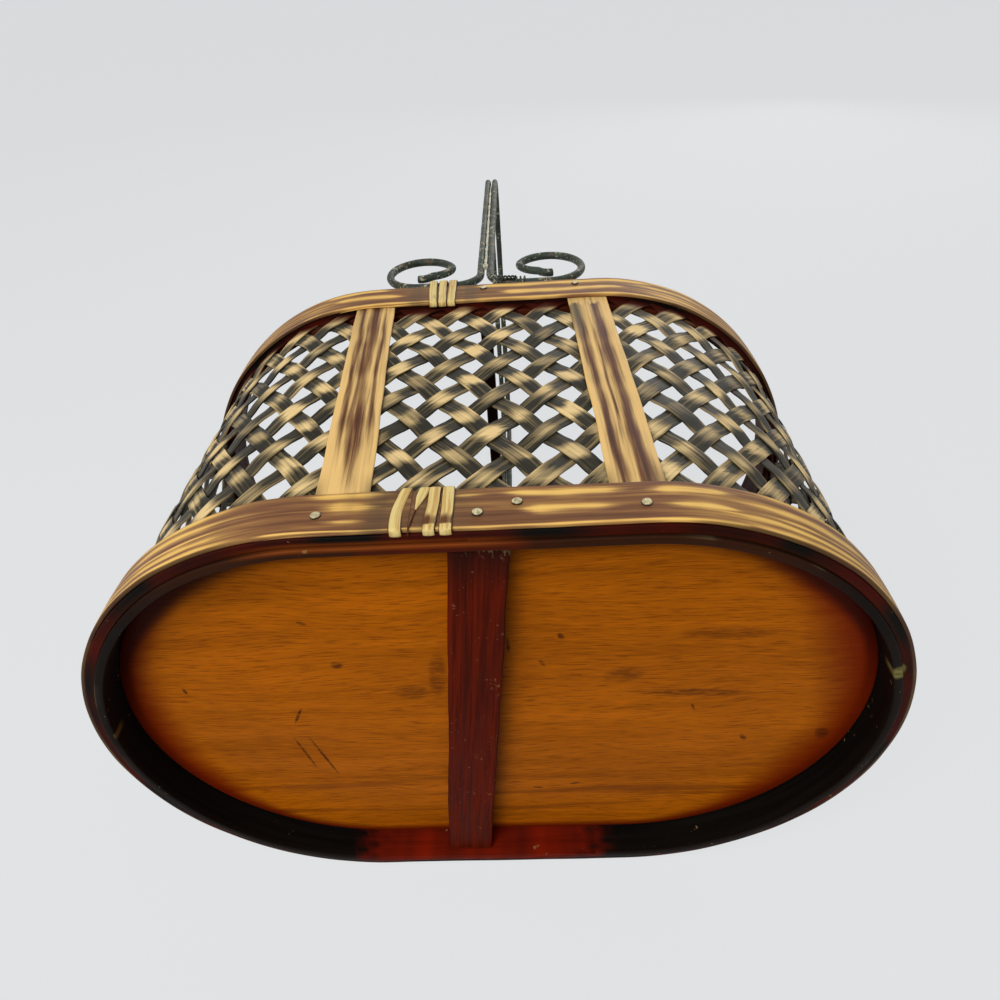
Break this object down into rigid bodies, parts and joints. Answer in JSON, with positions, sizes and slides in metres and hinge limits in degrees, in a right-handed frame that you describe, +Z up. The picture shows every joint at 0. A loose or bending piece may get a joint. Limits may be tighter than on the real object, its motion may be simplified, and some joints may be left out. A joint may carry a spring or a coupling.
{
  "type": "wine bottle basket",
  "caption": "Oval woven basket for carrying wine bottles, with bent hoops, slats, a recessed wooden base, a divider bar across the mouth and a tall wire handle with scrolled feet.",
  "frame": {"origin": "centre of the oval at the ground, under the base hoops", "axes": "+X along the length of the oval, +Y across it towards the back wall, +Z up towards the handle"},
  "size_m": [0.2608, 0.1814, 0.3416],
  "materials": {
    "scorched_bamboo": "bamboo scorched brown with tan streaks, satin varnish",
    "dark_bamboo": "stained nearly black, satin varnish",
    "slat_bamboo": "bamboo with scorched and pale lengthwise streaks, satin varnish",
    "woven_strips": "dark stained split bamboo, scraped pale on the crowns",
    "varnished_plywood": "amber varnish with fine grain, stains and scratches",
    "red_brown_wood": "dark red-brown stain, satin",
    "black_wire": "dark green-black paint, worn, with pale and rusty flecks",
    "weld_metal": "bare pale weld",
    "rattan": "pale peeled cane, stained brown at the lower ends",
    "nail_metal": "dull yellowed steel"
  },
  "bodies": {
    "root": {"base_outer_hoop": "scorched_bamboo", "base_inner_hoop": "dark_bamboo", "rim_outer_hoop": "scorched_bamboo", "rim_inner_hoop": "dark_bamboo", "weave_outer_strips": "woven_strips", "weave_inner_strips": "woven_strips", "slat_front_left": "slat_bamboo", "slat_front_right": "slat_bamboo", "slat_back_left": "slat_bamboo", "slat_back_right": "slat_bamboo", "base_panel": "varnished_plywood", "base_crossbar": "red_brown_wood", "divider_bar": "red_brown_wood", "handle_rod_left": "black_wire", "handle_rod_right": "black_wire", "handle_weld_front": "weld_metal", "handle_weld_back": "weld_metal", "tie_wire_front_right": "black_wire", "tie_wire_back_right": "black_wire", "tie_wire_back_left": "black_wire", "rattan_base_strand_1": "rattan", "rattan_base_strand_2": "rattan", "rattan_base_strand_3": "rattan", "rattan_base_strand_4": "rattan", "rattan_rim_strand_1": "rattan", "rattan_rim_strand_2": "rattan", "rattan_rim_strand_3": "rattan", "nail_base_front_left": "nail_metal", "nail_base_front_right": "nail_metal", "nail_base_front_hoop": "nail_metal", "nail_crossbar_front": "nail_metal", "nail_crossbar_back": "nail_metal", "nail_base_back_left": "nail_metal", "nail_base_back_right": "nail_metal", "nail_divider_front": "nail_metal", "nail_divider_back": "nail_metal", "nail_rim_front": "nail_metal", "nail_rim_back": "nail_metal"}
  },
  "joints": []
}
